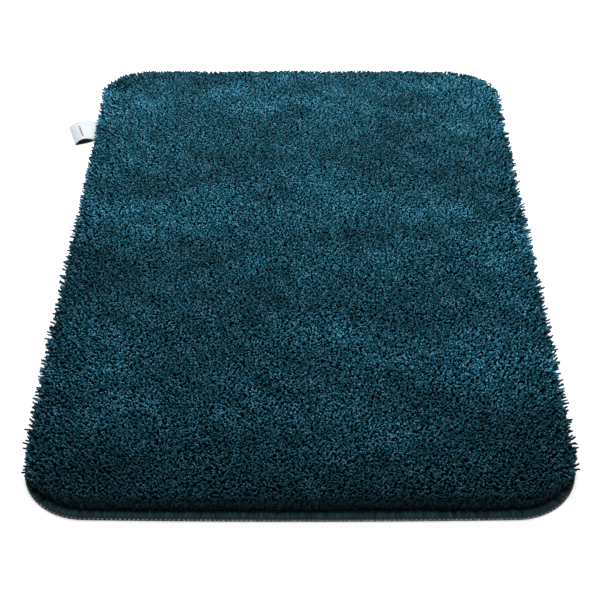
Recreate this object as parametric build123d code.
from build123d import *

import math
import os

# Bath mat: a tufted microfibre pile on a woven cloth, locked with latex, coated with an
# anti-slip latex underside, overlocked all round, with a folded ribbon label in its left edge.
# Millimetres. +Z is up. The origin is the middle of the underside, which lies on Z = 0.
# -Y is the front end, and the label is on the -X side, towards the rear.

# Driving dimensions of the mat
MAT_WIDTH = 600.0
MAT_LENGTH = 900.0
END_BOW = 4.0  # how far the front and rear ends bow out at their middle
CORNER_RADIUS = 72.0
MAT_HEIGHT = 22.0  # floor to the top of the pile

# Layers, from the floor up
GRIP_DEPTH = 0.6  # the latex field stands this much below its own margin
LATEX_THICKNESS = 1.0
LOCK_THICKNESS = 0.5
CLOTH_THICKNESS = 0.6

# Overlocked edge
CLOTH_INSET = 1.0  # cloth edge inside the nominal outline
EDGE_OVERHANG = 1.0  # outer face of the thread outside the nominal outline
EDGE_WIDTH = 10.0  # width of the thread cover across the edge
TOP_THREAD_THICKNESS = 2.2
RIM_SPLIT_HEIGHT = 1.9  # where the two loopers' threads meet on the rim
RIM_ROUND = 1.2
NEEDLE_THREAD_WIDTH = 0.8
NEEDLE_THREAD_HEIGHT = 0.4
NEEDLE_LINE_INSET = 7.6  # needle line inside the nominal outline

# Pile
PILE_GAP = 0.6  # between the thread cover and the foot of the pile
PILE_OVERHANG_SIDE = 8.0  # pile beyond the nominal outline along the two long sides
PILE_OVERHANG_END = -1.0  # and along the two ends, where it stands more upright
PILE_CORNER_RADIUS = 84.0
FLARE_START = 5.7  # height where the pile starts to lean out over the edge
FLARE_HEIGHT = 4.2
CROWN_RADIUS = 7.0

# Ribbon label
RIBBON_WIDTH = 47.0
RIBBON_THICKNESS = 0.3
LABEL_SKEW = 19.0  # degrees that the ribbon is turned in its seam
LABEL_SEAM_Y = 292.0  # middle of the label along the left edge
LABEL_REACH = 38.0  # hinge line to fold, along the ribbon's middle
LABEL_HINGE_X = -MAT_WIDTH / 2 - 2.8
LABEL_HINGE_Z = 3.0
LOOP_PULL = 7.8  # height of the arch's pull point near the seam
LOOP_CREST = 10.8  # and of the one near the fold
SEWN_DEPTH = 11.0
SEWN_CLEARANCE = 0.9  # sewn end to hinge line, so that the loop can turn
RELIEF_DEPTH = 8.6  # how far the upright loop reaches in over the hinge line
RELIEF_CLEARANCE = 0.8
PRINT_THICKNESS = 0.08

# Heights of the layers
LATEX_UNDER = GRIP_DEPTH
LATEX_TOP = LATEX_UNDER + LATEX_THICKNESS
LOCK_TOP = LATEX_TOP + LOCK_THICKNESS
CLOTH_TOP = LOCK_TOP + CLOTH_THICKNESS
EDGE_TOP = CLOTH_TOP + TOP_THREAD_THICKNESS


def outline(half_width, half_length, radius):
    """A flat outline with straight sides, bowed ends and round corners."""
    shoulder = half_length - END_BOW
    front_left = (-half_width, -shoulder)
    front_right = (half_width, -shoulder)
    rear_right = (half_width, shoulder)
    rear_left = (-half_width, shoulder)
    edges = Curve() + [
        ThreePointArc(front_left, (0, -half_length), front_right),
        Line(front_right, rear_right),
        ThreePointArc(rear_right, (0, half_length), rear_left),
        Line(rear_left, front_left),
    ]
    face = make_face(edges)
    return fillet(face.vertices(), radius)


def mat_outline(offset_out):
    """The mat's own outline, grown by offset_out."""
    half_width = MAT_WIDTH / 2 + offset_out
    half_length = MAT_LENGTH / 2 + offset_out
    return outline(half_width, half_length, CORNER_RADIUS + offset_out)


def slab(offset_out, low, high):
    """A flat layer of the mat between two heights."""
    return Pos(0, 0, low) * extrude(mat_outline(offset_out), amount=high - low)


def ring(offset_out, offset_in, low, high):
    """A flat band that follows the mat's outline."""
    return slab(offset_out, low, high) - slab(offset_in, low - 1, high + 1)


# Offsets of the layers from the nominal outline, outwards positive
EDGE_OUTER = EDGE_OVERHANG
EDGE_INNER = EDGE_OVERHANG - EDGE_WIDTH
CLOTH_OUTER = -CLOTH_INSET
PILE_FOOT = EDGE_INNER - PILE_GAP


def make_latex_backing():
    """The anti-slip underside: a thick field that grips the floor, and a thin margin in the seam."""
    margin = slab(CLOTH_OUTER, LATEX_UNDER, LATEX_TOP)
    field = slab(PILE_FOOT, 0, LATEX_TOP)
    return margin + field


def make_locking_coat():
    return slab(CLOTH_OUTER, LATEX_TOP, LOCK_TOP)


def make_tufting_cloth():
    return slab(CLOTH_OUTER, LOCK_TOP, CLOTH_TOP)


def label_point(u, w, z):
    """A point of the label: u out along the ribbon, w across it towards the rear, z up."""
    turn = math.radians(LABEL_SKEW)
    x = LABEL_HINGE_X - u * math.cos(turn) - w * math.sin(turn)
    y = LABEL_SEAM_Y - u * math.sin(turn) + w * math.cos(turn)
    return Vector(x, y, z)


def make_sewn_end():
    """The two ends of the ribbon, flat on the cloth and caught under the overlock thread."""
    reach = LABEL_REACH + RIBBON_WIDTH
    corners = [(-reach, -0.5), (-reach, 0.5), (reach, 0.5), (reach, -0.5)]
    plan = [label_point(u, w * RIBBON_WIDTH, 0) for u, w in corners]
    strip = extrude(make_face(Polyline(*plan, close=True)), amount=2 * RIBBON_THICKNESS)
    strip = Pos(0, 0, CLOTH_TOP) * strip
    outer_x = LABEL_HINGE_X + SEWN_CLEARANCE
    window = Box(
        SEWN_DEPTH, 4 * RIBBON_WIDTH, MAT_HEIGHT, align=(Align.MIN, Align.CENTER, Align.CENTER)
    )
    return strip & (Pos(outer_x, LABEL_SEAM_Y, 0) * window)


def make_top_thread(sewn_end):
    """The upper looper's thread: a cover on the top of the edge and down the rim."""
    cover = slab(EDGE_OUTER, RIM_SPLIT_HEIGHT, EDGE_TOP)
    rim = cover.edges().group_by(Axis.Z)[-1]
    cover = fillet(rim, RIM_ROUND)
    cover = cover - slab(CLOTH_OUTER, RIM_SPLIT_HEIGHT - 1, CLOTH_TOP)
    cover = cover - slab(EDGE_INNER, CLOTH_TOP - 1, EDGE_TOP + 1)
    return cover - sewn_end


def make_under_thread():
    """The lower looper's thread: a thin cover under the edge and up the rim."""
    cover = slab(EDGE_OUTER, 0, RIM_SPLIT_HEIGHT)
    cover = cover - slab(CLOTH_OUTER, LATEX_UNDER, RIM_SPLIT_HEIGHT + 1)
    return cover - slab(EDGE_INNER, -1, LATEX_UNDER + 1)


def make_needle_thread():
    """The needle's thread, which lies along the inner side of the cover."""
    outer = -NEEDLE_LINE_INSET + NEEDLE_THREAD_WIDTH / 2
    inner = -NEEDLE_LINE_INSET - NEEDLE_THREAD_WIDTH / 2
    return ring(outer, inner, EDGE_TOP, EDGE_TOP + NEEDLE_THREAD_HEIGHT)


def make_pile():
    """The pile's outer shape: it stands inside the overlock, leans out over it and is crowned."""
    foot = slab(PILE_FOOT, CLOTH_TOP, FLARE_START)
    half_width = MAT_WIDTH / 2 + PILE_OVERHANG_SIDE
    half_length = MAT_LENGTH / 2 + PILE_OVERHANG_END
    widest = outline(half_width, half_length, PILE_CORNER_RADIUS)
    flare_top = FLARE_START + FLARE_HEIGHT
    flare = loft([Pos(0, 0, FLARE_START) * mat_outline(PILE_FOOT), Pos(0, 0, flare_top) * widest])
    body = Pos(0, 0, flare_top) * extrude(widest, amount=MAT_HEIGHT - flare_top)
    crown = body.edges().group_by(Axis.Z)[-1]
    body = fillet(crown, CROWN_RADIUS) + flare
    low_y = label_point(LABEL_REACH, -RIBBON_WIDTH / 2, 0).Y - 2
    high_y = label_point(-LABEL_REACH / 3, RIBBON_WIDTH / 2, 0).Y + 2
    inner_x = LABEL_HINGE_X + RELIEF_DEPTH + RELIEF_CLEARANCE
    relief = Box(40, high_y - low_y, 40, align=(Align.MAX, Align.MIN, Align.MIN))
    return foot + (body - Pos(inner_x, low_y, FLARE_START - 0.5) * relief)


def loop_profile(w):
    """The ribbon's middle line at w across it, as (u, z) points from the seam to the fold and back."""
    seam_u = -w * math.tan(math.radians(LABEL_SKEW))
    length = LABEL_REACH - seam_u
    crease = 1.3  # height of the fold's own bend
    under = RIBBON_THICKNESS / 2
    top_start = (seam_u, LABEL_HINGE_Z + under)
    top_pull = (seam_u + 0.48 * length, LABEL_HINGE_Z + LOOP_PULL)
    top_drop = (LABEL_REACH - 0.28 * length, LABEL_HINGE_Z + LOOP_CREST)
    fold_top = (LABEL_REACH - 0.6, under + crease)
    fold_tip = (LABEL_REACH, under + crease / 2)
    fold_under = (LABEL_REACH - 0.6, under)
    under_pull = (seam_u + 0.35 * length, under)
    low_pull = (seam_u + 0.20 * length, under)
    low_end = (seam_u, LABEL_HINGE_Z - under)
    top = bezier(top_start, top_pull, top_drop, fold_top, 12)
    low = bezier(fold_under, under_pull, low_pull, low_end, 8)
    return top + [fold_tip] + low


def bezier(a, b, c, d, steps):
    """Points along a cubic curve."""
    points = []
    for step in range(steps + 1):
        t = step / steps
        weights = ((1 - t) ** 3, 3 * t * (1 - t) ** 2, 3 * t * t * (1 - t), t**3)
        u = sum(k * p[0] for k, p in zip(weights, (a, b, c, d)))
        z = sum(k * p[1] for k, p in zip(weights, (a, b, c, d)))
        points.append((u, z))
    return points


def beside(points, distance):
    """The same line moved sideways, to its outer side."""
    moved = []
    for index, (u, z) in enumerate(points):
        before = points[max(index - 1, 0)]
        after = points[min(index + 1, len(points) - 1)]
        du = after[0] - before[0]
        dz = after[1] - before[1]
        size = math.hypot(du, dz)
        moved.append((u - dz / size * distance, z + du / size * distance))
    return moved


def ribbon_band(w_from, w_to, first, last, inner, outer):
    """A solid on the ribbon between two widths, two points of its profile and two offsets."""
    rings = []
    for w in (w_from, w_to):
        line = loop_profile(w)
        high = beside(line, outer)[first : last + 1]
        low = beside(line, inner)[first : last + 1]
        section = [label_point(u, w, z) for u, z in high + low[::-1]]
        rings.append(Wire.make_polygon(section, close=True))
    return Solid.make_loft(rings, ruled=True)


def make_label_loop():
    half = RIBBON_WIDTH / 2
    points = len(loop_profile(0))
    loop = ribbon_band(-half, half, 0, points - 1, -RIBBON_THICKNESS / 2, RIBBON_THICKNESS / 2)
    free_side = Box(80, 200, 80, align=(Align.MAX, Align.CENTER, Align.CENTER))
    above_floor = Box(400, 200, 80, align=(Align.CENTER, Align.CENTER, Align.MIN))
    loop = loop & (Pos(LABEL_HINGE_X, LABEL_SEAM_Y, 0) * free_side)
    return loop & (Pos(LABEL_HINGE_X, LABEL_SEAM_Y, 0) * above_floor)


def make_label_print():
    """Plain care marks: a row of short bars along the fold, with no lettering."""
    surface = RIBBON_THICKNESS / 2
    bars = [(-15.5, -11.0), (-9.5, -4.5), (-3.0, 0.5), (2.0, 7.5), (9.0, 12.5)]
    marks = []
    for low, high in bars:
        marks.append(ribbon_band(low, high, 8, 9, surface, surface + PRINT_THICKNESS))
    return Compound(children=marks)


def main():
    os.makedirs("parts", exist_ok=True)
    sewn_end = make_sewn_end()
    nodes = {
        "latex_backing": make_latex_backing(),
        "locking_coat": make_locking_coat(),
        "tufting_cloth": make_tufting_cloth(),
        "microfibre_pile": make_pile(),
        "overlock_top_thread": make_top_thread(sewn_end),
        "overlock_under_thread": make_under_thread(),
        "overlock_needle_thread": make_needle_thread(),
        "label_sewn_end": sewn_end,
        "label_loop": make_label_loop(),
        "label_print": make_label_print(),
    }
    for name, shape in nodes.items():
        export_step(shape, f"parts/{name}.step")
        box = shape.bounding_box()
        print(f"{name}: {shape.volume:.1f} mm3, {box.size.X:.1f} x {box.size.Y:.1f} x {box.size.Z:.1f}")


main()
